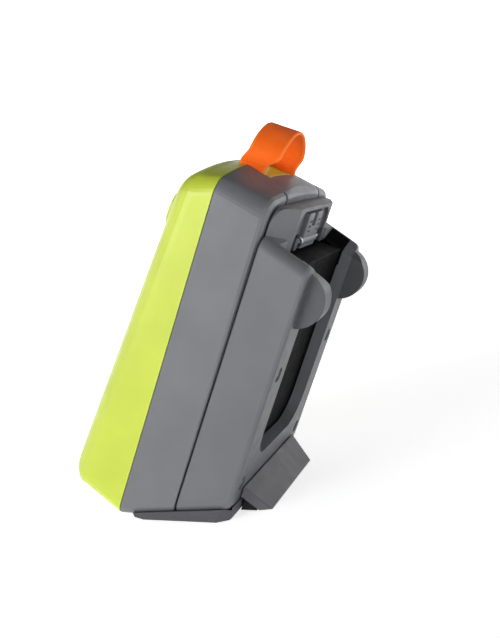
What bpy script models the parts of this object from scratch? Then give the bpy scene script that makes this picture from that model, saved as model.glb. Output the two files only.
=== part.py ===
"""Rugged handheld GPS unit standing on its sloped base: lime front cover, grey housing, rear frame round
a battery bay, two guard ears, a rear foot and a webbing loop. Sizes are metres.

Every piece is placed in the unit's upright frame: X across, Y from the front to the back, Z up the unit,
with Y = 0 on the seam between cover and housing and Z = 0 at the seam's lower end. One parent empty then
leans the whole unit back until its sole and its foot stand on the ground."""

from math import atan, cos, degrees, pi, radians, sin, sqrt, tan

import bmesh
import bpy
from mathutils import Matrix, Vector

MM = 0.001

# overall stance
LEAN = radians(23.5)
SOLE_FRONT = (10.5 * MM, -0.6 * MM)
GAP = 0.3 * MM

# outline of the unit in the XZ plane
HALF_WIDTH = 44.6 * MM
SEAM_TOP = 137.4 * MM
FRAME_REAR = 40.9 * MM
SOLE_REAR_Y = FRAME_REAR + 0.7 * MM
SEAM_CROWN = 6.0 * MM
SEAM_CORNER = 7.0 * MM
BASE_Z = -4.2 * MM
BASE_CORNER = 6.5 * MM

# front cover
COVER_WALL = 2.4 * MM
FRONT_Y = -24.7 * MM
FRONT_SLOPE = 0.0767
FRONT_ROUND = 8.0 * MM
COVER_TOP_DROP = 1.6 * MM
COVER_BASE_RISE = 3.8 * MM
BROW_SIZE = (71 * MM, 14.2 * MM)
BROW_Z = SEAM_TOP - 22.8 * MM
BROW_PROUD = 2.0 * MM

# display stack, depths measured inwards from the front face
LENS_SIZE = (61 * MM, 66 * MM)
LENS_Z = 71.5 * MM
LENS_THICK = 1.4 * MM
LENS_SUNK = 0.2 * MM
LENS_CORNER = 5 * MM
WINDOW_MARGIN = 3 * MM
SEAL_THICK = 0.7 * MM
PANEL_THICK = 2.6 * MM
TRAY_THICK = 0.8 * MM
BOARD_DEPTH = 8.1 * MM
BOARD_THICK = 1.6 * MM
BOARD_SIZE = (74 * MM, 108 * MM)
BOARD_Z = 63 * MM
POST_RADIUS = 2.2 * MM
POST_X = 34.8 * MM
POST_HEIGHTS = (40.0 * MM, 75.0 * MM, 111.0 * MM)

# keys
KEY_PROUD = 1.0 * MM
KEY_CLEARANCE = 0.35 * MM
KEY_FLANGE = 0.8 * MM
KEY_FLANGE_EDGE = 0.8 * MM
KEY_TRAVEL = 0.8 * MM
PAD_Z = 22.8 * MM
ENTER_RADIUS = 4.8 * MM
ARROW_INNER = 6.6 * MM
ARROW_OUTER = 12.6 * MM
ARROW_HALF_GAP = 0.9 * MM
SIDE_KEY_SIZE = (15 * MM, 8 * MM)
SIDE_KEY_X = 26 * MM
SIDE_KEY_RISE = 5.6 * MM
POWER_SIZE = (13 * MM, 6.4 * MM)
MEMBRANE_SIZE = (72 * MM, 27.5 * MM)
MEMBRANE_THICK = 1.6 * MM

# mid housing
HOUSING_REAR = 20.5 * MM
HOUSING_TOP = SEAM_TOP - 4.4 * MM
HOUSING_CROWN = 3.2 * MM
HOUSING_CORNER = 9.0 * MM
HOUSING_WALL = 2.4 * MM
BELLY_ZERO = 8.95 * MM
BELLY_SLOPE = 0.519
RIDGE_BEVEL = (0.35 * MM, 2.0 * MM)
RIDGE_BEVEL_Z = (SEAM_TOP - 37.4 * MM, SEAM_TOP - 19.4 * MM)
SCOOP_HALF = 21.5 * MM
TONGUE_HALF = 15.3 * MM
TONGUE_REAR = 9.5 * MM
TONGUE_THICK = 1.2 * MM
RIDGE_SLOT_X = 23.5 * MM
RIDGE_SLOT_WIDTH = 1.8 * MM
RIDGE_SLOT_DEPTH = 6.0 * MM

# rear frame
FRAME_FRONT = 21.1 * MM
SEAL_REBATE = 1.2 * MM
FRAME_TOP = SEAM_TOP - 18.4 * MM
FRAME_TOP_SLOPE = 0.268
FRAME_TOP_CORNER = 5.0 * MM
FRAME_CROWN = 0.5 * MM
FRAME_EDGE = 1.5 * MM
BAY_HALF = HALF_WIDTH - 15.7 * MM
BAY_BOTTOM = 33.5 * MM
BAY_CORNER = 13.0 * MM
HUMP_HALF = HALF_WIDTH - 4.2 * MM
HUMP_TOP = FRAME_TOP + 10.0 * MM
HUMP_CORNER = 7.3 * MM
HUMP_REAR = 27.2 * MM
HUMP_FLAT_HALF = 24.0 * MM
HUMP_BOTTOM = FRAME_TOP - 6.4 * MM
RAIL_WALL = 3.0 * MM
SHOULDER_HALF = HALF_WIDTH - 5.0 * MM
SHOULDER_Z = FRAME_TOP - 15.0 * MM
SHOULDER_Y = (27.4 * MM, FRAME_REAR - 4.4 * MM)
SHOULDER_FALL = 4.4 * MM
EAR_CENTRE = (FRAME_REAR - 2.7 * MM, FRAME_TOP - 18.1 * MM)
EAR_RADIUS = 10.7 * MM
EAR_OUTER = HALF_WIDTH - 5.6 * MM
EAR_INNER = BAY_HALF + 0.5 * MM
EAR_EDGE = 1.3 * MM

# battery pack and bay
LINER_WALL = 0.8 * MM
LINER_REAR = FRAME_REAR - 4.7 * MM
PACK_FRONT = 22.3 * MM
PACK_REAR = FRAME_REAR - 5.0 * MM
PACK_TOP = FRAME_TOP - 7.6 * MM
PACK_EDGE = 0.8 * MM
PACK_TRAVEL = 40.0 * MM
CONTACT_RADIUS = 1.1 * MM
CONTACT_SPACING = 6.0 * MM
CONTACT_Z = 52.0 * MM

# latch
RECESS_HALF = 22.0 * MM
RECESS_TOP = HUMP_TOP - 1.6 * MM
RECESS_CORNER = 6.0 * MM
BRACKET_REAR = 26.0 * MM
BRACKET_PLATE = 0.8 * MM
BRACKET_BOTTOM = FRAME_TOP - 6.0 * MM
CHEEK_INNER = 12.4 * MM
LEVER_HALF = 10.0 * MM
LEVER_Y = (24.7 * MM, 27.6 * MM)
LEVER_Z = (FRAME_TOP - 6.7 * MM, FRAME_TOP + 7.4 * MM)
LEVER_NOTCH_HALF = 2.5 * MM
LEVER_NOTCH_DEPTH = 5.5 * MM
LATCH_AXIS = (26.2 * MM, FRAME_TOP - 3.8 * MM)
LATCH_PIN_RADIUS = 1.0 * MM
LATCH_PIN_REACH = 19.5 * MM
LUG_INNER = 17.4 * MM
LUG_TOP = FRAME_TOP - 1.4 * MM
CHEEK_BOTTOM = FRAME_TOP - 1.0 * MM
LUG_REAR = 28.0 * MM
RUNNING_GAP = 0.12 * MM
SPRING_RADIUS = 1.75 * MM
SPRING_WIRE = 0.22 * MM
SPRING_TURNS = 2

# sole and foot
SOLE_TOP_START = 5.4 * MM
SOLE_RIM = 1.9 * MM
SOLE_REAR_TOP = FRAME_REAR + 1.3 * MM
SOLE_HALF = HALF_WIDTH - 0.6 * MM
SOLE_CHAMFER = 7.0 * MM
PAD_HALF = 30.5 * MM
FOOT_ROOT_HALF = 34.0 * MM
FOOT_END_HALF = 29.0 * MM
FOOT_ROOT_BOTTOM = (FRAME_REAR - BELLY_ZERO) * BELLY_SLOPE + 3.42 * MM
FOOT_ROOT_TOP = FOOT_ROOT_BOTTOM + 4.3 * MM
FOOT_TOE = (FRAME_REAR + 12.9 * MM, FRAME_REAR + 8.3 * MM)
FOOT_TENON = 6.0 * MM
FOOT_TENON_HALF = 20.0 * MM
FOOT_TENON_THICK = 2.4 * MM

# strap loop: middle line on one side as (x, height above the seam's top) in mm, from its hidden end
STRAP_THICK = 1.3 * MM
STRAP_LINE = (
    (15.2, -7.9),
    (15.2, -0.8),
    (15.9, 1.0),
    (16.3, 2.8),
    (16.1, 4.8),
    (15.3, 6.6),
    (14.0, 8.4),
    (12.2, 10.2),
    (10.0, 11.8),
    (7.4, 13.3),
    (4.4, 14.4),
    (1.5, 14.9),
)
STRAP_ROOT_Z = SEAM_TOP - 0.4 * MM
STRAP_FULL_Z = SEAM_TOP + 5.6 * MM
STRAP_TOP_Y = (-1.2 * MM, 11.8 * MM)
STRAP_ROOT_Y = {1: (-3.5 * MM, 7.2 * MM), -1: (-0.6 * MM, 10.4 * MM)}
STRAP_SLOT_CLEARANCE = 0.5 * MM
BOSS_HALF = 19.5 * MM
BOSS_Y = (-6.4 * MM, 12.6 * MM)
BOSS_BOTTOM = SEAM_TOP - 11.4 * MM
ANCHOR_RADIUS = 0.9 * MM
ANCHOR_Z = SEAM_TOP - 5.8 * MM

# side port
PORT_Y = 10.6 * MM
PORT_Z = 66.0 * MM
PORT_SIZE = (13.0 * MM, 16.0 * MM)
PORT_DEPTH = 2.2 * MM
PORT_BACKING = 3.4 * MM
PORT_DOOR_THICK = 1.5 * MM
PORT_DOOR_CLEARANCE = 0.4 * MM
PORT_PIN_RADIUS = 0.45 * MM
PORT_BARREL_RADIUS = 0.95 * MM
SOCKET_SIZE = (3.2 * MM, 9.0 * MM)
SOCKET_LENGTH = 7.5 * MM
SOCKET_WALL = 0.4 * MM

# fasteners
SCREW_HEAD_RADIUS = 2.6 * MM
SCREW_HEAD = 1.5 * MM
SCREW_RADIUS = 1.2 * MM
SCREW_CLEARANCE = 0.4 * MM
SCREW_SUNK = 0.7 * MM
SCREW_LENGTH = 13.0 * MM
SCREW_X = HALF_WIDTH - 7.6 * MM
SCREW_HEIGHTS = (72.0 * MM, 27.0 * MM)

# colours, linear RGB
LIME = (0.66, 0.82, 0.08)
GREY = (0.19, 0.195, 0.21)
REAR_GREY = (0.165, 0.167, 0.185)
DARK = (0.05, 0.05, 0.055)
BLACK = (0.008, 0.009, 0.009)
ORANGE = (0.93, 0.15, 0.02)
STEEL = (0.62, 0.62, 0.64)
BRASS = (0.72, 0.55, 0.22)
BOARD_GREEN = (0.02, 0.16, 0.07)
GLASS = (0.03, 0.035, 0.04)

parts = None
cutters = None
unit = None
face = None


def start():
    """Clears the scene and makes the collections and the two parent empties."""
    global parts, cutters, unit, face
    for old in list(bpy.data.objects):
        bpy.data.objects.remove(old, do_unlink=True)
    parts = bpy.data.collections.new("handheld_gps_unit")
    cutters = bpy.data.collections.new("cutters")
    for collection in (parts, cutters):
        bpy.context.scene.collection.children.link(collection)
    unit = bpy.data.objects.new("unit_frame", None)
    parts.objects.link(unit)
    turn = Matrix.Rotation(-LEAN, 4, "X")
    stand_y = (SOLE_FRONT[0] + SOLE_REAR_Y) / 2
    unit.matrix_world = Matrix.Translation(-(turn @ Vector((0, stand_y, ground(stand_y))))) @ turn
    face = bpy.data.objects.new("face_frame", None)
    parts.objects.link(face)
    face.parent = unit
    face.location = (0, FRONT_Y, 0)
    face.rotation_euler = (-atan(FRONT_SLOPE), 0, 0)


def material(name, colour, roughness, metallic=0.0):
    """A Principled material, made once for each name."""
    found = bpy.data.materials.get(name)
    if found:
        return found
    made = bpy.data.materials.new(name)
    made.use_nodes = True
    shader = made.node_tree.nodes["Principled BSDF"]
    shader.inputs["Base Color"].default_value = (*colour, 1)
    shader.inputs["Roughness"].default_value = roughness
    shader.inputs["Metallic"].default_value = metallic
    made.diffuse_color = (*colour, 1)
    return made


def finish_object(name, mesh, parent, look, smooth=True):
    """Links a mesh as a part, or as a cutter where it has no look."""
    made = bpy.data.objects.new(name, mesh)
    made.parent = parent
    if look is None:
        cutters.objects.link(made)
        made.hide_render = True
        made.display_type = "WIRE"
        return made
    parts.objects.link(made)
    mesh.materials.append(look)
    if smooth:
        mesh.shade_smooth()
        mesh.set_sharp_from_angle(angle=radians(32))
    return made


def mesh_of(name, bm):
    """Turns a closed bmesh into a mesh with its faces pointing out."""
    bmesh.ops.recalc_face_normals(bm, faces=bm.faces[:])
    if bm.calc_volume(signed=True) < 0:
        bmesh.ops.reverse_faces(bm, faces=bm.faces[:])
    mesh = bpy.data.meshes.new(name)
    bm.to_mesh(mesh)
    bm.free()
    return mesh


def box(name, low, high, parent, look=None, turn=None):
    """A box between two corners, turned about its centre where turn is given."""
    bm = bmesh.new()
    bmesh.ops.create_cube(bm, size=1)
    size = [b - a for a, b in zip(low, high)]
    centre = Vector([(a + b) / 2 for a, b in zip(low, high)])
    bmesh.ops.scale(bm, vec=size, verts=bm.verts)
    if turn is not None:
        bmesh.ops.transform(bm, matrix=turn, verts=bm.verts)
    bmesh.ops.translate(bm, vec=centre, verts=bm.verts)
    return finish_object(name, mesh_of(name, bm), parent, look)


def cylinder(name, axis, start_at, end_at, centre, radius, parent, look=None, segments=24, end_radius=None):
    """A cylinder or cone along the axis from one value of that coordinate to another."""
    bm = bmesh.new()
    end = radius if end_radius is None else end_radius
    bmesh.ops.create_cone(
        bm, cap_ends=True, segments=segments, radius1=radius, radius2=end, depth=end_at - start_at
    )
    turns = {"X": Matrix.Rotation(pi / 2, 3, "Y"), "Y": Matrix.Rotation(-pi / 2, 3, "X")}
    if axis in turns:
        bmesh.ops.rotate(bm, matrix=turns[axis], verts=bm.verts)
    middle = (start_at + end_at) / 2
    place = {
        "X": (middle, *centre),
        "Y": (centre[0], middle, centre[1]),
        "Z": (*centre, middle),
    }[axis]
    bmesh.ops.translate(bm, vec=place, verts=bm.verts)
    return finish_object(name, mesh_of(name, bm), parent, look)


def without_straight_points(points):
    """Leaves out the points that lie on the straight line between their neighbours."""
    kept = []
    for i, point in enumerate(points):
        before = Vector(points[i - 1])
        after = Vector(points[(i + 1) % len(points)])
        here = Vector(point)
        turn = (here - before).normalized().cross((after - here).normalized())
        if abs(turn) > 1e-5:
            kept.append(point)
    return kept


def prism(name, points, axis, low, high, parent, look=None, segments_bevel=0, bevel=0.0):
    """Extrudes a flat outline along an axis. Points are (x, z) for Y, (y, z) for X and (x, y) for Z.

    The curve is filled at millimetre scale, so that short edges are well above the fill's tolerance."""
    points = without_straight_points(points)
    curve = bpy.data.curves.new(name, "CURVE")
    curve.dimensions = "2D"
    curve.fill_mode = "BOTH"
    curve.extrude = (high - low) / 2 / MM
    spline = curve.splines.new("POLY")
    spline.points.add(len(points) - 1)
    for point, (u, v) in zip(spline.points, points):
        point.co = (u / MM, v / MM, 0, 1)
    spline.use_cyclic_u = True
    holder = bpy.data.objects.new(name + "_curve", curve)
    bpy.context.scene.collection.objects.link(holder)
    evaluated = holder.evaluated_get(bpy.context.evaluated_depsgraph_get())
    flat = bpy.data.meshes.new_from_object(evaluated)
    bm = bmesh.new()
    bm.from_mesh(flat)
    bpy.data.objects.remove(holder, do_unlink=True)
    bpy.data.curves.remove(curve)
    bpy.data.meshes.remove(flat)
    bmesh.ops.remove_doubles(bm, verts=bm.verts, dist=1e-3)
    bmesh.ops.scale(bm, vec=(MM, MM, MM), verts=bm.verts)
    middle = (low + high) / 2
    places = {
        "X": Matrix(((0, 0, 1, middle), (1, 0, 0, 0), (0, 1, 0, 0), (0, 0, 0, 1))),
        "Y": Matrix(((1, 0, 0, 0), (0, 0, 1, middle), (0, 1, 0, 0), (0, 0, 0, 1))),
        "Z": Matrix.Translation((0, 0, middle)),
    }
    bmesh.ops.transform(bm, matrix=places[axis], verts=bm.verts)
    made = finish_object(name, mesh_of(name, bm), parent, look)
    if bevel:
        round_edges(made, bevel, segments_bevel or 2)
    return made


def round_edges(target, width, segments=2, angle=35):
    """Rounds the edges of a piece that are sharper than the angle."""
    modifier = target.modifiers.new("rounded edges", "BEVEL")
    modifier.width = width
    modifier.segments = segments
    modifier.limit_method = "ANGLE"
    modifier.angle_limit = radians(angle)
    modifier.harden_normals = False


def combine(target, other, operation="DIFFERENCE"):
    """Cuts, joins or intersects a piece with another object."""
    modifier = target.modifiers.new(f"{operation.lower()} {other.name}", "BOOLEAN")
    modifier.operation = operation
    modifier.object = other
    modifier.solver = "EXACT"


def rounded_rectangle(width, height, radius, centre=(0, 0), steps=5):
    """Corner-rounded rectangle as a list of points."""
    radius = min(radius, width / 2 - 1e-5, height / 2 - 1e-5)
    points = []
    corners = ((1, -1, -90), (1, 1, 0), (-1, 1, 90), (-1, -1, 180))
    for sx, sz, first in corners:
        cx = centre[0] + sx * (width / 2 - radius)
        cz = centre[1] + sz * (height / 2 - radius)
        for k in range(steps + 1):
            a = radians(first + 90 * k / steps)
            points.append((cx + radius * cos(a), cz + radius * sin(a)))
    return points


def outline(half, top, bottom, top_corner, bottom_corner, crown, inset=0.0):
    """Front outline of the unit: crowned top, rounded corners, flat bottom; the same point count always."""
    half -= inset
    top -= inset
    bottom += inset
    top_corner = max(top_corner - 0.5 * inset, 1.2 * MM)
    bottom_corner = max(bottom_corner - 0.3 * inset, 0.8 * MM)
    right = []
    for k in range(5):
        a = radians(-90 + 90 * k / 4)
        x = half - bottom_corner + bottom_corner * cos(a)
        right.append((x, bottom + bottom_corner + bottom_corner * sin(a)))
    lean_in = atan(2 * crown * (half - top_corner) / half**2)
    end_x = half - top_corner + top_corner * sin(lean_in)
    centre_z = top - crown * (end_x / half) ** 2 - top_corner * cos(lean_in)
    for k in range(9):
        a = (pi / 2 - lean_in) * k / 8
        right.append((half - top_corner + top_corner * cos(a), centre_z + top_corner * sin(a)))
    for k in range(1, 6):
        x = end_x * (1 - k / 6)
        right.append((x, top - crown * (x / half) ** 2))
    right.append((0.0, top))
    left = [(-x, z) for x, z in reversed(right[:-1])]
    return right + left


def loft(name, rings, parent, look=None):
    """Skins rings of equal point counts and caps both ends; every face is a flat triangle."""
    bm = bmesh.new()
    skins = [[bm.verts.new(p) for p in ring] for ring in rings]
    for near, far in zip(skins, skins[1:]):
        for i in range(len(near)):
            j = (i + 1) % len(near)
            bm.faces.new((near[i], near[j], far[j], far[i]))
    bm.faces.new(skins[0])
    bm.faces.new(skins[-1])
    bmesh.ops.triangulate(bm, faces=bm.faces[:])
    return finish_object(name, mesh_of(name, bm), parent, look)


def ground(y):
    """Height of the standing plane in the unit's frame."""
    return SOLE_FRONT[1] + (y - SOLE_FRONT[0]) * tan(LEAN)


def belly(y):
    """Height of the housing's underside, which slopes up towards the back."""
    return max(BASE_Z, (y - BELLY_ZERO) * BELLY_SLOPE)


def front_y(z):
    return FRONT_Y + FRONT_SLOPE * z


def seam_outline(inset=0.0):
    return outline(HALF_WIDTH, SEAM_TOP, BASE_Z, SEAM_CORNER, BASE_CORNER, SEAM_CROWN, inset)


def blend(a, b, t):
    return a + (b - a) * t


def cover_ring(depth, inset, wall=0.0):
    """One ring of the cover at a depth behind the sloping front face."""
    base = outline(
        HALF_WIDTH,
        SEAM_TOP - COVER_TOP_DROP,
        BASE_Z + COVER_BASE_RISE,
        SEAM_CORNER + 1.5 * MM,
        BASE_CORNER + 2 * MM,
        SEAM_CROWN,
        inset + wall,
    )
    return [(x, front_y(z) + depth + wall, z) for x, z in base]


def seam_ring(y, inset=0.0):
    return [(x, y, z) for x, z in seam_outline(inset)]


def cover_shell(name, y_end, wall, look):
    """Solid of the cover's outside, or of its inside where wall is given."""
    steps = 6
    rings = [seam_ring(y_end, wall)]
    for k in range(steps + 1):
        a = pi / 2 * k / steps
        depth = FRONT_ROUND * (1 - sin(a))
        rings.append(cover_ring(depth, FRONT_ROUND * (1 - cos(a)), wall))
    return loft(name, rings, unit, look)


def face_plate(name, width, height, corner, z, depth_low, depth_high, look=None, x=0.0, bevel=0.0):
    """A corner-rounded plate in the front face's frame."""
    points = rounded_rectangle(width, height, corner, (x, z))
    return prism(name, points, "Y", depth_low, depth_high, face, look, bevel=bevel)


def key_shapes():
    """Name, outline maker and centre of every key; the maker takes an amount to grow the outline by."""

    def round_key(radius, z):
        return lambda grow: [
            ((radius + grow) * cos(2 * pi * k / 28), z + (radius + grow) * sin(2 * pi * k / 28))
            for k in range(28)
        ]

    def bar_key(width, height, x, z):
        return lambda grow: rounded_rectangle(width + 2 * grow, height + 2 * grow, 3 * MM + grow, (x, z), 4)

    def arrow_key(turn):
        def points(grow):
            inner = ARROW_INNER - grow
            outer = ARROW_OUTER + grow
            gap = ARROW_HALF_GAP - grow
            ring = []
            for radius, order in ((outer, range(9)), (inner, range(8, -1, -1))):
                reach = pi / 4 - gap / radius
                for k in order:
                    a = turn - reach + 2 * reach * k / 8
                    ring.append((radius * cos(a), PAD_Z + radius * sin(a)))
            return ring

        return points

    shapes = {"key_enter": round_key(ENTER_RADIUS, PAD_Z)}
    arrows = {"key_right": 0, "key_up": 90, "key_left": 180, "key_down": 270}
    for name, turn in arrows.items():
        shapes[name] = arrow_key(radians(turn))
    sides = {
        "key_zoom_in": (-1, 1),
        "key_zoom_out": (-1, -1),
        "key_menu": (1, 1),
        "key_back": (1, -1),
    }
    for name, (sx, sz) in sides.items():
        shapes[name] = bar_key(*SIDE_KEY_SIZE, sx * SIDE_KEY_X, PAD_Z + sz * SIDE_KEY_RISE)
    shapes["key_power"] = bar_key(*POWER_SIZE, 0, BROW_Z)
    return shapes


def make_front_cover(lime):
    cover = cover_shell("front_cover", -GAP / 2, 0.0, lime)
    brow = face_plate("brow_pad", *BROW_SIZE, 6 * MM, BROW_Z, -BROW_PROUD, COVER_WALL, bevel=0.6 * MM)
    combine(cover, brow, "UNION")
    combine(cover, cover_shell("cover_inside", 1 * MM, COVER_WALL, None))
    for z in POST_HEIGHTS:
        for side in (-1, 1):
            post = cylinder(
                f"board_post_{side}_{z / MM:.0f}",
                "Y",
                COVER_WALL - 0.6 * MM,
                BOARD_DEPTH - GAP,
                (side * POST_X, z),
                POST_RADIUS,
                face,
                segments=20,
            )
            combine(cover, post, "UNION")
    boss = strap_boss("cover_boss", BOSS_Y[0], -GAP / 2 - 0.1 * MM)
    combine(cover, boss, "UNION")
    combine(cover, tongue("cover_tongue", 0.0), "UNION")
    pocket = face_plate(
        "lens_pocket", LENS_SIZE[0], LENS_SIZE[1], LENS_CORNER, LENS_Z, -1 * MM, LENS_SUNK + LENS_THICK + GAP
    )
    combine(cover, pocket)
    width, height = (s - 2 * WINDOW_MARGIN for s in LENS_SIZE)
    window = face_plate("display_window", width, height, LENS_CORNER - 2 * MM, LENS_Z, -1 * MM, 6 * MM)
    combine(cover, window)
    for name, points in key_shapes().items():
        hole = prism(name + "_hole", points(KEY_CLEARANCE), "Y", -4 * MM, 6 * MM, face)
        combine(cover, hole)
    for k in range(5):
        x = 13 * MM + k * 2.4 * MM
        slot = face_plate(f"speaker_slot_{k}", 1.1 * MM, 6.5 * MM, 0.5 * MM, BROW_Z, -4 * MM, 6 * MM, x=x)
        combine(cover, slot)
    eye = cylinder("sensor_hole", "Y", -4 * MM, 6 * MM, (-17 * MM, BROW_Z), 1.9 * MM, face)
    combine(cover, eye)
    cut_strap_slots(cover)
    return cover


def roof(x, y):
    """Height of the unit's top surface near its middle."""
    if y < 0:
        top = blend(SEAM_TOP, SEAM_TOP - COVER_TOP_DROP, min(-y / (6.4 * MM), 1))
        return top - SEAM_CROWN * (x / HALF_WIDTH) ** 2
    t = y / HOUSING_REAR
    return blend(SEAM_TOP, HOUSING_TOP, t) - blend(SEAM_CROWN, HOUSING_CROWN, t) * (x / HALF_WIDTH) ** 2


def roof_block(name, half, stations, look=None):
    """Block under the roof: stations give y, depth of its top below the roof, and height of its base."""
    rings = []
    for y, sunk, base in stations:
        xs = [half * (1 - k / 4) for k in range(9)]
        crest = [(x, y, roof(x, y) - sunk) for x in xs]
        rings.append([(-half, y, base), (half, y, base), *crest])
    return loft(name, rings, unit, look)


def strap_boss(name, low, high):
    """Block under the top wall that holds one half of the strap's ends."""
    sunk = 1.2 * MM
    return roof_block(name, BOSS_HALF, ((low, sunk, BOSS_BOTTOM), (high, sunk, BOSS_BOTTOM)))


def tongue(name, grow):
    """The cover's tongue, let into the housing's top between the strap's ends; grown, it is the seat."""
    lift = 0.02 * MM if not grow else -2 * MM
    root = -2.5 * MM
    base = TONGUE_THICK + grow
    stations = (
        (root, 0.5 * MM + lift, roof(0, root) - base - 0.8 * MM),
        (TONGUE_REAR + grow, lift, roof(0, TONGUE_REAR) - base - 0.8 * MM),
    )
    return roof_block(name, TONGUE_HALF + grow, stations)


def cut_strap_slots(target):
    """Slots for the strap's two ends, and the seats of the pins that hold them."""
    for side, (front, back) in STRAP_ROOT_Y.items():
        x = side * STRAP_LINE[0][0] * MM
        half = STRAP_THICK / 2 + STRAP_SLOT_CLEARANCE
        bottom = SEAM_TOP + STRAP_LINE[0][1] * MM - STRAP_SLOT_CLEARANCE
        slot = box(
            f"{target.name}_strap_slot_{side}",
            (x - half, front - STRAP_SLOT_CLEARANCE, bottom),
            (x + half, back + STRAP_SLOT_CLEARANCE, SEAM_TOP + 4 * MM),
            unit,
        )
        combine(target, slot)
        seat = cylinder(
            f"{target.name}_anchor_seat_{side}",
            "Y",
            front - 1.6 * MM,
            back + 1.6 * MM,
            (x, ANCHOR_Z),
            ANCHOR_RADIUS + GAP,
            unit,
            segments=16,
        )
        combine(target, seat)


def make_display(looks):
    depth = LENS_SUNK
    lens = face_plate(
        "display_lens",
        LENS_SIZE[0] - 2 * GAP,
        LENS_SIZE[1] - 2 * GAP,
        LENS_CORNER - GAP,
        LENS_Z,
        depth,
        depth + LENS_THICK,
        looks["glass"],
    )
    depth = COVER_WALL + GAP + 0.2 * MM
    width, height = (s - 2 * WINDOW_MARGIN for s in LENS_SIZE)
    seal = face_plate(
        "display_seal", *LENS_SIZE, LENS_CORNER, LENS_Z, depth, depth + SEAL_THICK, looks["rubber"]
    )
    combine(seal, face_plate("seal_opening", width, height, 3 * MM, LENS_Z, 0, 10 * MM))
    depth += SEAL_THICK + GAP
    wide, tall = LENS_SIZE
    end = depth + PANEL_THICK
    face_plate("display_panel", wide, tall + 2 * MM, 1 * MM, LENS_Z, depth, end, looks["screen"])
    depth += PANEL_THICK + GAP
    end = depth + TRAY_THICK
    face_plate("display_tray", wide + 3 * MM, tall + 5 * MM, 2 * MM, LENS_Z, depth, end, looks["steel"])
    return lens


def make_keys(looks):
    bottom = COVER_WALL + GAP + KEY_FLANGE
    for name, points in key_shapes().items():
        proud = KEY_PROUD + (BROW_PROUD if name == "key_power" else 0)
        cap = prism(name, points(0), "Y", -proud, bottom, face, looks["key"])
        grow = KEY_FLANGE_EDGE + KEY_CLEARANCE - 0.6 * MM
        flange = prism(name + "_flange", points(grow), "Y", bottom - KEY_FLANGE, bottom, face)
        round_edges(cap, 0.45 * MM, 2)
        if name not in ("key_up", "key_down", "key_left", "key_right"):
            combine(cap, flange, "UNION")
    top = bottom + KEY_TRAVEL + 0.4 * MM
    face_plate("keypad_membrane", *MEMBRANE_SIZE, 4 * MM, PAD_Z, top, top + MEMBRANE_THICK, looks["rubber"])
    face_plate("power_dome", 16 * MM, 9 * MM, 2 * MM, BROW_Z, top, top + MEMBRANE_THICK, looks["rubber"])


def make_electronics(looks):
    end = BOARD_DEPTH + BOARD_THICK
    face_plate("main_board", *BOARD_SIZE, 3 * MM, BOARD_Z, BOARD_DEPTH, end, looks["board"])
    back = BOARD_DEPTH + BOARD_THICK + GAP
    face_plate("antenna_patch", 25 * MM, 25 * MM, 1.5 * MM, 98 * MM, back, back + 4 * MM, looks["ceramic"])
    face_plate("shield_can", 34 * MM, 22 * MM, 1 * MM, 62 * MM, back, back + 2.6 * MM, looks["steel"])
    cylinder("backup_cell", "Y", back, back + 3 * MM, (-22 * MM, 38 * MM), 6 * MM, face, looks["steel"], 28)
    front = COVER_WALL + GAP + 0.2 * MM
    cylinder("speaker", "Y", front, front + 3.2 * MM, (17.8 * MM, BROW_Z), 6.2 * MM, face, looks["dark"], 28)
    place = (-17 * MM, BROW_Z)
    cylinder("light_sensor", "Y", 0.2 * MM - BROW_PROUD, front, place, 1.6 * MM, face, looks["glass"], 20)


def housing_outline(y, inset=0.0):
    t = y / HOUSING_REAR
    return outline(
        HALF_WIDTH,
        blend(SEAM_TOP, HOUSING_TOP, t),
        belly(y),
        blend(SEAM_CORNER, HOUSING_CORNER, t),
        BASE_CORNER,
        blend(SEAM_CROWN, HOUSING_CROWN, t),
        inset,
    )


def ridge_edge(z):
    """Width of the rounding of the housing's rear edge: thin down the sides, wide over the top."""
    t = (z - RIDGE_BEVEL_Z[0]) / (RIDGE_BEVEL_Z[1] - RIDGE_BEVEL_Z[0])
    return blend(*RIDGE_BEVEL, min(max(t, 0.0), 1.0))


def housing_solid(name, start_y, end_y, wall, rounded, look):
    """Solid of the housing's outside, or of its inside where wall is given."""
    stations = [start_y, 4 * MM, 9 * MM, 14 * MM, end_y - (2.6 * MM if rounded else 0)]
    rings = [[(x, y, z) for x, z in housing_outline(max(y, 0), wall)] for y in stations]
    if rounded:
        edges = [ridge_edge(z) for _, z in housing_outline(end_y)]
        for back, inset in ((1.0, 0.0), (0.35, 0.25), (0.0, 0.9)):
            ring = []
            for k, edge in enumerate(edges):
                y = end_y - back * edge
                x, z = housing_outline(y, wall + inset * edge)[k]
                ring.append((x, y, z))
            rings.append(ring)
    return loft(name, rings, unit, look)


def make_mid_housing(looks):
    housing = housing_solid("mid_housing", GAP / 2, HOUSING_REAR, 0.0, True, looks["grey"])
    inside = housing_solid("housing_inside", -1 * MM, HOUSING_REAR - HOUSING_WALL, HOUSING_WALL, False, None)
    combine(housing, inside)
    boss = strap_boss("housing_boss", GAP / 2 + 0.1 * MM, BOSS_Y[1])
    combine(housing, boss, "UNION")
    combine(housing, tongue("tongue_seat", GAP))
    cut_strap_slots(housing)
    cut_ridge(housing)
    for k in (-1, 0, 1):
        hole = cylinder(
            f"contact_hole_{k + 1}",
            "Y",
            HOUSING_REAR - 5 * MM,
            HOUSING_REAR + 1 * MM,
            (k * CONTACT_SPACING, CONTACT_Z),
            CONTACT_RADIUS + GAP,
            unit,
            segments=16,
        )
        combine(housing, hole)
    cut_port(housing)
    return housing


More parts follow.
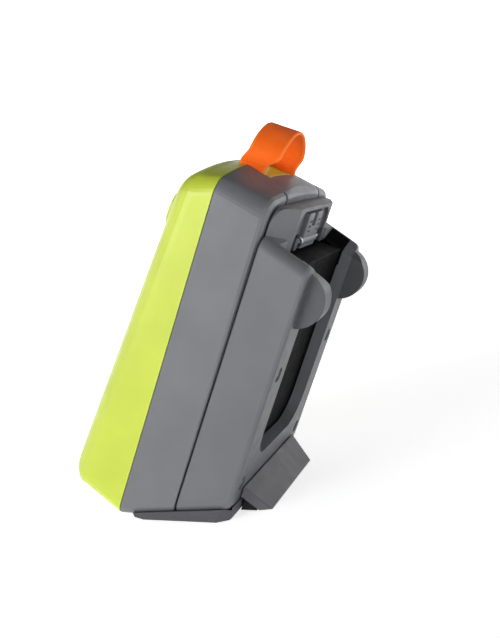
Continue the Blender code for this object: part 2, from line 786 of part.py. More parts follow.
def cut_ridge(housing):
    """Scoops the middle of the rear ridge and cuts the two slots beside the scoop."""
    top = HOUSING_TOP
    wedge = (
        (HOUSING_REAR - 3.4 * MM, top + 0.9 * MM),
        (HOUSING_REAR + 1.2 * MM, top - 2.3 * MM),
        (HOUSING_REAR + 1.2 * MM, top + 6 * MM),
        (HOUSING_REAR - 3.4 * MM, top + 6 * MM),
    )
    combine(housing, prism("ridge_scoop", wedge, "X", -SCOOP_HALF, SCOOP_HALF, unit))
    for side in (-1, 1):
        x = side * RIDGE_SLOT_X
        slot = box(
            f"ridge_slot_{side}",
            (x - RIDGE_SLOT_WIDTH / 2, HOUSING_REAR - 2.3 * MM, top - RIDGE_SLOT_DEPTH),
            (x + RIDGE_SLOT_WIDTH / 2, HOUSING_REAR + 1 * MM, top + 4 * MM),
            unit,
        )
        combine(housing, slot)


def cut_port(housing):
    """Thickens the left side wall and sinks the port's recess, its socket hole and hinge seats into it."""
    side = -HALF_WIDTH
    width, height = PORT_SIZE
    backing = box(
        "port_backing",
        (side + 0.6 * MM, PORT_Y - width / 2 - 1.2 * MM, PORT_Z - height / 2 - 1.6 * MM),
        (side + PORT_DEPTH + PORT_BACKING, PORT_Y + width / 2 + 1.0 * MM, PORT_Z + height / 2 + 1.6 * MM),
        unit,
    )
    combine(housing, backing, "UNION")
    recess = box(
        "port_recess",
        (side - 2 * MM, PORT_Y - width / 2, PORT_Z - height / 2),
        (side + PORT_DEPTH, PORT_Y + width / 2, PORT_Z + height / 2),
        unit,
    )
    combine(housing, recess)
    hole = box(
        "socket_hole",
        (side, PORT_Y + 1.0 * MM - SOCKET_SIZE[0] / 2 - GAP, PORT_Z - SOCKET_SIZE[1] / 2 - GAP),
        (side + 9 * MM, PORT_Y + 1.0 * MM + SOCKET_SIZE[0] / 2 + GAP, PORT_Z + SOCKET_SIZE[1] / 2 + GAP),
        unit,
    )
    combine(housing, hole)
    seat = cylinder(
        "port_pin_seat",
        "Z",
        PORT_Z - height / 2 - 1.0 * MM,
        PORT_Z + height / 2 + 1.0 * MM,
        port_axis(),
        PORT_PIN_RADIUS + GAP,
        unit,
        segments=16,
    )
    combine(housing, seat)


def port_axis():
    """X and Y of the port door's hinge axis."""
    x = -HALF_WIDTH + PORT_BARREL_RADIUS + 0.1 * MM
    return (x, PORT_Y - PORT_SIZE[0] / 2 + PORT_BARREL_RADIUS + PORT_DOOR_CLEARANCE)


def make_port(looks):
    side = -HALF_WIDTH
    width, height = PORT_SIZE
    axis_x, axis_y = port_axis()
    clear = PORT_DOOR_CLEARANCE
    door = box(
        "port_door",
        (side + 0.1 * MM, axis_y, PORT_Z - height / 2 + clear),
        (side + 0.1 * MM + PORT_DOOR_THICK, PORT_Y + width / 2 - clear, PORT_Z + height / 2 - clear),
        unit,
        looks["rubber"],
    )
    barrel = cylinder(
        "port_barrel",
        "Z",
        PORT_Z - height / 2 + clear,
        PORT_Z + height / 2 - clear,
        (axis_x, axis_y),
        PORT_BARREL_RADIUS,
        unit,
        segments=20,
    )
    combine(door, barrel, "UNION")
    bore = cylinder(
        "port_bore",
        "Z",
        PORT_Z - height,
        PORT_Z + height,
        (axis_x, axis_y),
        PORT_PIN_RADIUS + 0.12 * MM,
        unit,
        segments=16,
    )
    combine(door, bore)
    cylinder(
        "port_hinge_pin",
        "Z",
        PORT_Z - height / 2 - 0.7 * MM,
        PORT_Z + height / 2 + 0.7 * MM,
        (axis_x, axis_y),
        PORT_PIN_RADIUS,
        unit,
        looks["steel"],
        16,
    )
    low = (side + PORT_DEPTH + 0.4 * MM, PORT_Y + 1.0 * MM - SOCKET_SIZE[0] / 2, PORT_Z - SOCKET_SIZE[1] / 2)
    high = (low[0] + SOCKET_LENGTH, low[1] + SOCKET_SIZE[0], low[2] + SOCKET_SIZE[1])
    socket = box("usb_socket", low, high, unit, looks["steel"])
    wall = SOCKET_WALL
    mouth = box(
        "socket_mouth",
        (low[0] - 1 * MM, low[1] + wall, low[2] + wall),
        (high[0] - 1.2 * MM, high[1] - wall, high[2] - wall),
        unit,
    )
    combine(socket, mouth)


def open_top(points, gap):
    """The outline from one side of a gap in its top, round the bottom, to the gap's other side."""
    count = len(points)
    top = max(range(count), key=lambda k: points[k][1])
    ring = [points[(top + k) % count] for k in range(count)]
    left = [p for p in ring if p[0] < 0 and not (p[0] > -gap and p[1] > 0.7 * points[top][1])]
    right = [p for p in ring if p[0] >= 0 and not (p[0] < gap and p[1] > 0.7 * points[top][1])]
    start_z = blend(left[0][1], points[top][1], (left[0][0] + gap) / left[0][0])
    return [(-gap, start_z)] + left + right + [(gap, start_z)]


def make_seals(looks):
    """The seal inside the seam, broken where the strap's boss crosses it, and the one in the rear groove."""
    gap = BOSS_HALF + 0.6 * MM
    outer = open_top(seam_outline(COVER_WALL + 0.9 * MM), gap)
    inner = open_top(seam_outline(COVER_WALL + 2.3 * MM), gap)
    prism("case_seal", outer + inner[::-1], "Y", -1.2 * MM, 1.2 * MM, unit, looks["rubber"])
    low = HOUSING_REAR + GAP
    high = FRAME_FRONT + SEAL_REBATE - GAP
    points = frame_outline(FRAME_FRONT, 1.6 * MM)
    groove = prism("groove_seal", points, "Y", low, high, unit, looks["rubber"])
    opening = outline(BAY_HALF, 150 * MM, BAY_BOTTOM, 1 * MM, BAY_CORNER, 0, -1.5 * MM)
    combine(groove, prism("groove_seal_opening", opening, "Y", low - 1 * MM, high + 1 * MM, unit))


def frame_top(y):
    return FRAME_TOP - (y - FRAME_FRONT) * FRAME_TOP_SLOPE


def frame_outline(y, inset=0.0):
    return outline(HALF_WIDTH, frame_top(y), belly(y), FRAME_TOP_CORNER, BASE_CORNER, FRAME_CROWN, inset)


def bay_outline(grow=0.0, top=150 * MM):
    """The bay's outline: straight sides, round lower corners, open upwards."""
    half = BAY_HALF + grow
    radius = BAY_CORNER + grow
    points = [(-half, top)]
    for first, cx in ((180, -half + radius), (270, half - radius)):
        for k in range(9):
            a = radians(first + 90 * k / 8)
            points.append((cx + radius * cos(a), BAY_BOTTOM - grow + radius + radius * sin(a)))
    points.append((half, top))
    return points


def make_rear_frame(looks):
    stations = (
        (FRAME_FRONT, 0.5 * MM),
        (FRAME_FRONT + 0.5 * MM, 0.0),
        (FRAME_REAR - FRAME_EDGE, 0.0),
        (FRAME_REAR - FRAME_EDGE * 0.3, FRAME_EDGE * 0.3),
        (FRAME_REAR, FRAME_EDGE),
    )
    rings = [[(x, y, z) for x, z in frame_outline(y, inset)] for y, inset in stations]
    frame = loft("rear_frame", rings, unit, looks["rear_grey"])
    for side in (-1, 1):
        combine(frame, make_ear(side), "UNION")
    combine(frame, prism("bay_cut", bay_outline(), "Y", FRAME_FRONT - 5 * MM, FRAME_REAR + 20 * MM, unit))
    cut_shoulders(frame)
    combine(frame, make_hump(), "UNION")
    rebate = frame_outline(FRAME_FRONT, 1.3 * MM)
    combine(frame, prism("seal_rebate", rebate, "Y", FRAME_FRONT - 1 * MM, FRAME_FRONT + SEAL_REBATE, unit))
    for side in (-1, 1):
        for index, (low, high) in enumerate(((34 * MM, 66 * MM), (78 * MM, 100 * MM))):
            inner, outer = BAY_HALF + RAIL_WALL, HALF_WIDTH - RAIL_WALL
            pocket = box(
                f"rail_pocket_{side}_{index}",
                (min(side * inner, side * outer), FRAME_FRONT - 2 * MM, low),
                (max(side * inner, side * outer), FRAME_REAR - 4 * MM, high),
                unit,
            )
            combine(frame, pocket)
    for name, x, z in screw_places():
        head = cylinder(
            name + "_seat",
            "Y",
            FRAME_REAR - SCREW_SUNK - SCREW_HEAD - GAP,
            FRAME_REAR + 5 * MM,
            (x, z),
            SCREW_HEAD_RADIUS + SCREW_CLEARANCE,
            unit,
        )
        combine(frame, head)
        shank = cylinder(
            name + "_bore",
            "Y",
            FRAME_REAR - SCREW_SUNK - SCREW_HEAD - SCREW_LENGTH - 1 * MM,
            FRAME_REAR,
            (x, z),
            SCREW_RADIUS + SCREW_CLEARANCE,
            unit,
            segments=16,
        )
        combine(frame, shank)
    combine(frame, foot_tenon("foot_mortise", GAP, None))
    return frame


def shoulder_fall(name, lift, reach):
    """Cutter above the two planes that fall from the rails' crests towards the bay and to the back."""
    rings = []
    for y in (FRAME_FRONT - 3 * MM, FRAME_REAR + 8 * MM):
        crest = frame_top(y) + lift
        low = crest - SHOULDER_FALL
        line = [(-reach, crest), (-BAY_HALF, low), (BAY_HALF, low), (reach, crest)]
        ring = [(x, y, z) for x, z in line]
        rings.append([*ring, (reach, y, 170 * MM), (-reach, y, 170 * MM)])
    return loft(name, rings, unit)


def cut_shoulders(frame):
    """Lowers the rails' tops towards the bay and opens the pockets for the liner's shoulders."""
    keep_front = prism(
        "rail_fall_reach",
        (
            (SHOULDER_Y[0] - 0.5 * MM, 60 * MM),
            (FRAME_REAR + 20 * MM, 60 * MM),
            (FRAME_REAR + 20 * MM, 180 * MM),
            (SHOULDER_Y[0] - 0.5 * MM, 180 * MM),
        ),
        "X",
        -60 * MM,
        60 * MM,
        unit,
    )
    fall = shoulder_fall("rail_fall", 0.0, SHOULDER_HALF)
    combine(fall, keep_front, "INTERSECT")
    combine(frame, fall)
    for side in (-1, 1):
        low, high = sorted((side * (BAY_HALF - 2 * MM), side * SHOULDER_HALF))
        pocket = box(
            f"shoulder_pocket_{side}",
            (low, SHOULDER_Y[0], SHOULDER_Z),
            (high, SHOULDER_Y[1], 150 * MM),
            unit,
        )
        combine(frame, pocket)


def make_ear(side):
    """Round guard lug that stands out of a rail's back."""
    points = [
        tuple(c + EAR_RADIUS * f(2 * pi * k / 48) for c, f in zip(EAR_CENTRE, (cos, sin)))
        for k in range(48)
    ]
    low, high = sorted((side * EAR_INNER, side * EAR_OUTER))
    return prism(f"ear_{side}", points, "X", low, high, unit, bevel=EAR_EDGE, segments_bevel=3)


def make_hump():
    """The frame's raised top over the bay: back corners cut in plan, and the latch recess in its middle."""
    points = outline(HUMP_HALF, HUMP_TOP, HUMP_BOTTOM, HUMP_CORNER, 1 * MM, 0.6 * MM)
    hump = prism("hump", points, "Y", FRAME_FRONT + 0.1 * MM, HUMP_REAR, unit)
    run = HUMP_HALF - HUMP_FLAT_HALF
    rise = HUMP_REAR - FRAME_FRONT - 0.4 * MM
    angle = atan(rise / run)
    length = 30 * MM
    depth = 12 * MM
    middle_x = (HUMP_HALF + HUMP_FLAT_HALF) / 2
    middle_y = (HUMP_REAR + FRAME_FRONT + 0.4 * MM) / 2
    for side in (-1, 1):
        turn = Matrix.Rotation(-side * angle, 3, "Z")
        centre = Vector((side * middle_x, middle_y, 0)) + turn @ Vector((0, depth / 2, 0))
        low = (centre.x - length / 2, centre.y - depth / 2, HUMP_BOTTOM - 3 * MM)
        high = (centre.x + length / 2, centre.y + depth / 2, HUMP_TOP + 5 * MM)
        combine(hump, box(f"hump_corner_cut_{side}", low, high, unit, turn=turn.to_4x4()))
    recess = rounded_rectangle(
        2 * RECESS_HALF,
        RECESS_TOP - HUMP_BOTTOM + 20 * MM,
        RECESS_CORNER,
        (0, (RECESS_TOP + HUMP_BOTTOM - 20 * MM) / 2),
    )
    combine(hump, prism("latch_recess", recess, "Y", FRAME_FRONT - 1 * MM, HUMP_REAR + 5 * MM, unit))
    return hump


def screw_places():
    """Name, X and Z of each frame screw."""
    places = []
    for row, z in enumerate(SCREW_HEIGHTS):
        for side in (-1, 1):
            name = f"frame_screw_{'lower' if row else 'upper'}_{'right' if side > 0 else 'left'}"
            places.append((name, side * SCREW_X, z))
    return places


def make_screws(looks):
    for name, x, z in screw_places():
        top = FRAME_REAR - SCREW_SUNK
        low = top - SCREW_HEAD
        screw = cylinder(name, "Y", low, top, (x, z), SCREW_HEAD_RADIUS, unit, looks["steel"], 28)
        end = top - SCREW_HEAD - SCREW_LENGTH
        shank = cylinder(name + "_shank", "Y", end, top - 0.5 * MM, (x, z), SCREW_RADIUS, unit, segments=16)
        combine(screw, shank, "UNION")
        low = top - 0.8 * MM
        socket = cylinder(name + "_drive", "Y", low, top + 1 * MM, (x, z), 1.3 * MM, unit, segments=6)
        combine(screw, socket)


def make_battery(looks):
    half = BAY_HALF - GAP
    outer = bay_outline(-GAP, 140 * MM)
    liner = prism("bay_liner", outer, "Y", FRAME_FRONT + 0.4 * MM, LINER_REAR, unit, looks["black"])
    for side in (-1, 1):
        low, high = sorted((side * (half - 0.4 * MM), side * (SHOULDER_HALF - GAP)))
        shoulder = box(
            f"liner_shoulder_{side}",
            (low, SHOULDER_Y[0] + GAP, SHOULDER_Z + GAP),
            (high, LINER_REAR - 0.05 * MM, 138 * MM),
            unit,
        )
        combine(liner, shoulder, "UNION")
    combine(liner, prism("liner_inside", bay_outline(-GAP - LINER_WALL), "Y", 10 * MM, 60 * MM, unit))
    combine(liner, shoulder_fall("liner_fall", 0.15 * MM, SHOULDER_HALF + 2 * MM))
    hump_room = box(
        "liner_hump_room",
        (-half - 1 * MM, FRAME_FRONT - 1 * MM, HUMP_BOTTOM - 0.4 * MM),
        (half + 1 * MM, HUMP_REAR + 0.4 * MM, 150 * MM),
        unit,
    )
    combine(liner, hump_room)
    shape = bay_outline(-2 * GAP - LINER_WALL - 0.1 * MM, PACK_TOP)
    prism("battery_pack", shape, "Y", PACK_FRONT, PACK_REAR, unit, looks["black"], bevel=PACK_EDGE)
    for k in (-1, 0, 1):
        cylinder(
            f"battery_contact_{k + 2}",
            "Y",
            HOUSING_REAR - 4.5 * MM,
            PACK_FRONT - GAP,
            (k * CONTACT_SPACING, CONTACT_Z),
            CONTACT_RADIUS,
            unit,
            looks["brass"],
            16,
        )


def make_latch(looks):
    """Bracket in the recess with two cheeks, the lever between them, and the pin the lever tips on."""
    low = FRAME_FRONT + 0.3 * MM
    bracket = prism("latch_bracket", bracket_outline(), "Y", low, LUG_REAR, unit, looks["dark"])
    far = 30 * MM
    above = box("lug_shoulder", (-far, BRACKET_REAR, LUG_TOP), (far, LUG_REAR + 1 * MM, 140 * MM), unit)
    combine(bracket, above)
    between = box(
        "lug_gap",
        (-LUG_INNER, low + BRACKET_PLATE, BRACKET_BOTTOM - 2 * MM),
        (LUG_INNER, LUG_REAR + 1 * MM, CHEEK_BOTTOM),
        unit,
    )
    combine(bracket, between)
    channel = box(
        "lever_channel",
        (-CHEEK_INNER, low + BRACKET_PLATE, BRACKET_BOTTOM + 2 * MM),
        (CHEEK_INNER, LUG_REAR + 2 * MM, RECESS_TOP + 2 * MM),
        unit,
    )
    combine(bracket, channel)
    reach = LATCH_PIN_REACH
    hole = LATCH_PIN_RADIUS + RUNNING_GAP
    bore = cylinder("latch_pin_bore", "X", -reach - GAP, reach + GAP, LATCH_AXIS, hole, unit)
    combine(bracket, bore)
    cylinder("latch_pin", "X", -reach, reach, LATCH_AXIS, LATCH_PIN_RADIUS, unit, looks["steel"], 24)
    low = (-LEVER_HALF, LEVER_Y[0], LEVER_Z[0])
    lever = box("latch_lever", low, (LEVER_HALF, LEVER_Y[1], LEVER_Z[1]), unit, looks["grey"])
    notch = box(
        "lever_notch",
        (-LEVER_NOTCH_HALF, LEVER_Y[0] - 1 * MM, LEVER_Z[1] - LEVER_NOTCH_DEPTH),
        (LEVER_NOTCH_HALF, LEVER_Y[1] + 1 * MM, LEVER_Z[1] + 1 * MM),
        unit,
    )
    combine(lever, notch)
    round_edges(lever, 0.5 * MM, 2)
    rim = LATCH_PIN_RADIUS + 0.9 * MM
    knuckle = cylinder("lever_knuckle", "X", -LEVER_HALF, LEVER_HALF, LATCH_AXIS, rim, unit)
    combine(lever, knuckle, "UNION")
    bore = cylinder("lever_bore", "X", -20 * MM, 20 * MM, LATCH_AXIS, hole, unit)
    combine(lever, bore)
    for k in range(3):
        z = LEVER_Z[1] - 3.4 * MM - k * 2.0 * MM
        for side in (-1, 1):
            near, far = sorted((side * (LEVER_NOTCH_HALF + 1.4 * MM), side * (LEVER_HALF - 1.2 * MM)))
            groove = box(
                f"grip_groove_{side}_{k}",
                (near, LEVER_Y[1] - 0.45 * MM, z - 0.45 * MM),
                (far, LEVER_Y[1] + 1 * MM, z + 0.45 * MM),
                unit,
            )
            combine(lever, groove)
    make_spring(looks)


def bracket_outline():
    """Outline of the latch bracket: square feet, round upper corners."""
    half = RECESS_HALF - GAP
    top = RECESS_TOP - GAP
    radius = RECESS_CORNER - GAP
    points = [(-half, BRACKET_BOTTOM), (half, BRACKET_BOTTOM)]
    for sign, first in ((1, 0), (-1, 90)):
        for k in range(7):
            a = radians(first + 90 * k / 6)
            points.append((sign * (half - radius) + radius * cos(a), top - radius + radius * sin(a)))
    return points


def make_spring(looks):
    """Torsion coil round the pin, in the gap between the lever's side and the cheek."""
    low = LEVER_HALF + GAP + SPRING_WIRE
    high = CHEEK_INNER - GAP - SPRING_WIRE
    count = SPRING_TURNS * 16
    rings = []
    for k in range(count + 1):
        a = 2 * pi * k / 16
        out = Vector((0, cos(a), sin(a)))
        centre = Vector((blend(low, high, k / count), *LATCH_AXIS)) + SPRING_RADIUS * out
        ring = []
        for j in range(8):
            b = 2 * pi * j / 8
            ring.append(tuple(centre + SPRING_WIRE * (cos(b) * out + sin(b) * Vector((1, 0, 0)))))
        rings.append(ring)
    loft("latch_spring", rings, unit, looks["steel"])


def make_sole(looks):
    """Rubber tray under the sloping belly: flat on the ground, back corners cut in plan."""
    front = SOLE_TOP_START

    def rim(y):
        return (y - BELLY_ZERO) * BELLY_SLOPE + SOLE_RIM

    profile = [
        (front, rim(front)),
        (front + 1.2 * MM, ground(front) + 1.6 * MM),
        (SOLE_FRONT[0], SOLE_FRONT[1]),
        (SOLE_REAR_Y, ground(SOLE_REAR_Y)),
        (SOLE_REAR_TOP, ground(SOLE_REAR_TOP) + 0.9 * MM),
        (SOLE_REAR_TOP - 0.9 * MM, rim(SOLE_REAR_TOP - 0.9 * MM)),
    ]
    sole = prism("base_sole", profile, "X", -SOLE_HALF, SOLE_HALF, unit, looks["sole"])
    for side in (-1, 1):
        turn = Matrix.Rotation(-side * radians(52), 4, "Z")
        centre = Vector((side * (SOLE_HALF + 1.05 * MM), SOLE_REAR_TOP - 0.1 * MM, 12 * MM))
        low = centre - Vector((20 * MM, SOLE_CHAMFER / 2, 20 * MM))
        high = centre + Vector((20 * MM, SOLE_CHAMFER / 2, 20 * MM))
        combine(sole, box(f"sole_corner_cut_{side}", low, high, unit, turn=turn))
    round_edges(sole, 0.4 * MM, 2)
    room = 1.2 * GAP
    stations = (-6 * MM, 0.0, 20 * MM, FRAME_REAR + room)
    rings = []
    for y in stations:
        base = outline(HALF_WIDTH + room, 60 * MM, belly(y) - room, 2 * MM, BASE_CORNER + room, 0.3 * MM)
        rings.append([(x, y, z) for x, z in base])
    combine(sole, loft("sole_body_room", rings, unit))


def foot_profile():
    """Side profile of the foot plate, from its root on the frame to its toe on the ground."""
    root = FRAME_REAR + GAP
    tip, heel = FOOT_TOE
    return [(root, FOOT_ROOT_TOP), (root, FOOT_ROOT_BOTTOM), (heel, ground(heel)), (tip, ground(tip))]


def foot_tenon(name, grow, look):
    """The tongue at the foot's root that sits in the frame."""
    middle = (FOOT_ROOT_TOP + FOOT_ROOT_BOTTOM) / 2
    half = FOOT_TENON_THICK / 2 + grow
    return box(
        name,
        (-FOOT_TENON_HALF - grow, FRAME_REAR - FOOT_TENON - grow, middle + 0.4 * MM - half),
        (FOOT_TENON_HALF + grow, FRAME_REAR + 1.5 * MM, middle + 0.4 * MM + half),
        unit,
        look,
    )


def make_foot(looks):
    foot = prism("rear_foot", foot_profile(), "X", -FOOT_ROOT_HALF, FOOT_ROOT_HALF, unit, looks["rear_grey"])
    run = FOOT_TOE[0] - FRAME_REAR
    angle = atan((FOOT_ROOT_HALF - FOOT_END_HALF) / run)
    for side in (-1, 1):
        turn = Matrix.Rotation(side * angle, 3, "Z")
        corner = Vector((side * FOOT_ROOT_HALF, FRAME_REAR, 18 * MM))
        centre = corner + turn @ Vector((side * 10 * MM, 10 * MM, 0))
        low = centre - Vector((10 * MM, 25 * MM, 20 * MM))
        high = centre + Vector((10 * MM, 25 * MM, 20 * MM))
        combine(foot, box(f"foot_side_cut_{side}", low, high, unit, turn=turn.to_4x4()))
    round_edges(foot, 0.5 * MM, 2)
    combine(foot, foot_tenon("foot_tongue", 0.0, None), "UNION")


def make_foot_pad(looks):
    """Black rubber wedge that fills the corner between the sole's end, the ground and the foot."""
    y = SOLE_REAR_TOP + GAP
    tip = FOOT_TOE[1] - 0.8 * MM
    profile = [(y, FOOT_ROOT_BOTTOM - 1.1 * MM), (y, ground(y) + 0.05 * MM), (tip, ground(tip) + 0.05 * MM)]
    prism("foot_pad", profile, "X", -PAD_HALF, PAD_HALF, unit, looks["rubber"])


def strap_path():
    """Middle line of the webbing loop in the XZ plane, from one hidden end over the top to the other."""
    right = [(x * MM, SEAM_TOP + z * MM) for x, z in STRAP_LINE]
    return right + [(-x, z) for x, z in reversed(right)]


def strap_width(point):
    """Front and back of the webbing at a point: narrower and turned a little where it enters the top."""
    side = 1 if point[0] > 0 else -1
    t = (point[1] - STRAP_ROOT_Z) / (STRAP_FULL_Z - STRAP_ROOT_Z)
    t = min(max(t, 0.0), 1.0)
    t = t * t * (3 - 2 * t)
    return tuple(blend(a, b, t) for a, b in zip(STRAP_ROOT_Y[side], STRAP_TOP_Y))


def make_strap(looks):
    """Webbing band: one cross-section at each point of the middle line, joined into a closed skin."""
    path = [Vector(p) for p in strap_path()]
    rings = []
    for i, point in enumerate(path):
        ahead = path[min(i + 1, len(path) - 1)]
        behind = path[max(i - 1, 0)]
        along = (ahead - behind).normalized()
        out = Vector((along.y, -along.x)) * STRAP_THICK / 2
        front, back = strap_width(point)
        a, b = point + out, point - out
        rings.append([(a.x, front, a.y), (a.x, back, a.y), (b.x, back, b.y), (b.x, front, b.y)])
    strap = loft("strap_loop", rings, unit, looks["webbing"])
    for side, (front, _) in STRAP_ROOT_Y.items():
        cylinder(
            f"strap_anchor_{'right' if side > 0 else 'left'}",
            "Y",
            front - 1.2 * MM,
            front - GAP,
            (side * STRAP_LINE[0][0] * MM, ANCHOR_Z),
            ANCHOR_RADIUS,
            unit,
            looks["steel"],
            16,
        )
    return strap


def make_looks():
    """Every material by its short name."""
    return {
        "lime": material("lime_plastic", LIME, 0.38),
        "grey": material("grey_plastic", GREY, 0.45),
        "rear_grey": material("rear_grey_plastic", REAR_GREY, 0.48),
        "dark": material("dark_plastic", DARK, 0.5),
        "black": material("black_plastic", BLACK, 0.55),
        "key": material("key_rubber", DARK, 0.6),
        "rubber": material("seal_rubber", BLACK, 0.75),
        "sole": material("sole_rubber", DARK, 0.7),
        "webbing": material("orange_webbing", ORANGE, 0.7),
        "glass": material("lens_glass", GLASS, 0.06),
        "screen": material("screen", DARK, 0.2),
        "steel": material("steel", STEEL, 0.3, 1.0),
        "brass": material("brass_contact", BRASS, 0.3, 1.0),
        "board": material("circuit_board", BOARD_GREEN, 0.4),
        "ceramic": material("antenna_ceramic", (0.55, 0.48, 0.38), 0.5),
    }


def build():
    start()
    looks = make_looks()
    make_front_cover(looks["lime"])
    make_display(looks)
    make_keys(looks)
    make_electronics(looks)
    make_mid_housing(looks)
    make_port(looks)
    make_seals(looks)
    make_rear_frame(looks)
    make_screws(looks)
    make_battery(looks)
    make_latch(looks)
    make_sole(looks)
    make_foot(looks)
    make_foot_pad(looks)
    make_strap(looks)


build()
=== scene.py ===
"""Looks for the handheld GPS unit: procedural plastics, rubber, metal, glass and woven webbing on the CAD
frame, with a pale studio stage and a camera behind and to one side of the unit. Sizes are metres."""

from math import cos, pi, radians, sin, tan

import bmesh
import bpy
from mathutils import Matrix, Vector


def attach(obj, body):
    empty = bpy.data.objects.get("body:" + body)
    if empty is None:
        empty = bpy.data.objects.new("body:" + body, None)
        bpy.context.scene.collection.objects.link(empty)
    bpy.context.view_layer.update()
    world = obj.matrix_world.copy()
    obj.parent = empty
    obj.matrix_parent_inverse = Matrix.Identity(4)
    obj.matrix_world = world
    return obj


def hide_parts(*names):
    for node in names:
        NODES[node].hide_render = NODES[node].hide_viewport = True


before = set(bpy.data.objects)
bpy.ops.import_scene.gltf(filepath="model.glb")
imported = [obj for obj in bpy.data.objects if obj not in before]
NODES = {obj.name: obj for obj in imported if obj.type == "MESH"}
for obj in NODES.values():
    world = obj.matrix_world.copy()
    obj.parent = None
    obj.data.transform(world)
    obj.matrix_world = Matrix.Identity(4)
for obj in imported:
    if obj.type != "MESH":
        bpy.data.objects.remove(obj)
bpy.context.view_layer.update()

MM = 0.001

# the unit's stance: it leans back on its sole, whose centre is the origin
LEAN = radians(23.5)
SOLE_FRONT = (10.5 * MM, -0.6 * MM)
FRAME_REAR = 40.9 * MM
SOLE_REAR_Y = FRAME_REAR + 0.7 * MM

# webbing loop: middle line of one side as (x, z) in the unit's upright frame, in millimetres
STRAP_LINE = (
    (15.2, 130.0),
    (15.2, 136.6),
    (15.9, 138.4),
    (16.3, 140.2),
    (16.1, 142.2),
    (15.3, 144.0),
    (14.0, 145.8),
    (12.2, 147.6),
    (10.0, 149.2),
    (7.4, 150.7),
    (4.4, 151.8),
    (1.5, 152.3),
)
STRAP_THICK = 1.25 * MM
STRAP_ROOT_Z = 137.0 * MM
STRAP_FULL_Z = 143.0 * MM
STRAP_TOP_Y = (-1.2 * MM, 11.8 * MM)
STRAP_ROOT_Y = {1: (-3.5 * MM, 7.2 * MM), -1: (-0.6 * MM, 10.4 * MM)}
STRAP_ROUNDS = 6
STRAP_ACROSS = 26
WEBBING_WIDTH = STRAP_TOP_Y[1] - STRAP_TOP_Y[0]
CREASE_DEPTH = 0.22 * MM
CREASE_PITCH = 3.1 * MM
CREASE_SLANT = 1.6
CREASE_TOP_Z = 146 * MM
CREASE_FADE = 8 * MM
NEAR_LEG_CREASE = 0.25
EDGE_THINNING = 0.45
EDGE_ROLL = 0.25 * MM

# weave of the webbing, in metres along it and across it
RIB_PITCH = 0.95 * MM
WARP_PITCH = 0.62 * MM
SELVEDGE = (5.5 * MM, 5.9 * MM)

# moulded plastic: where the painted shade on the guard ears fades in behind the frame's back plane
EAR_SHADE_FADE = (-0.7 * MM, 0.5 * MM)
FLAT_DOT = 0.995
EDGE_DOT = 0.88

# camera
LENS = 50.0
SENSOR = 36.0
CAMERA_PLACE = (0.33332, 0.13452, 0.12514)
CAMERA_RIGHT = (-0.31556, 0.94474, -0.08883)
CAMERA_UP = (-0.17741, 0.03322, 0.98358)

# stage
RING_RADIUS = 2.0
RING_HEIGHT = 0.85
RING_SIDES = 64
FLOOR_GLOW = 0.68
WALL_GLOW = 1.0
SKY = 0.04
KEY_PLACE = (1.05, -0.5, 0.36)
KEY_TARGET = (0, 0, 0.07)
KEY_SIZE = (0.5, 0.5)
KEY_POWER = 5.4
STAGE_WHITE = (0.9, 0.9, 0.9)

# linear colours
LIME = (0.49, 0.581, 0.051)
GREY = (0.133, 0.138, 0.152)
REAR_GREY = (0.118, 0.122, 0.134)
# the foot's grey, darkened as painted shade for the light falling off toward the bottom and back
FOOT_GREY_SHADED = (0.078, 0.078, 0.089)
DARK = (0.05, 0.051, 0.058)
BLACK = (0.001, 0.001, 0.001)
RUBBER = (0.008, 0.008, 0.009)
GASKET = (0.03, 0.03, 0.032)
SOLE = (0.068, 0.068, 0.078)
KEY = (0.05, 0.05, 0.055)
ORANGE = (1.0, 0.135, 0.006)
ORANGE_WORN = (0.90, 0.19, 0.03)
ORANGE_EDGE = (0.95, 0.26, 0.05)
STEEL = (0.60, 0.60, 0.62)
BRASS = (0.72, 0.53, 0.22)
BOARD = (0.015, 0.13, 0.06)
CERAMIC = (0.52, 0.46, 0.36)
GLASS = (0.010, 0.012, 0.015)
SCREEN = (0.02, 0.03, 0.032)


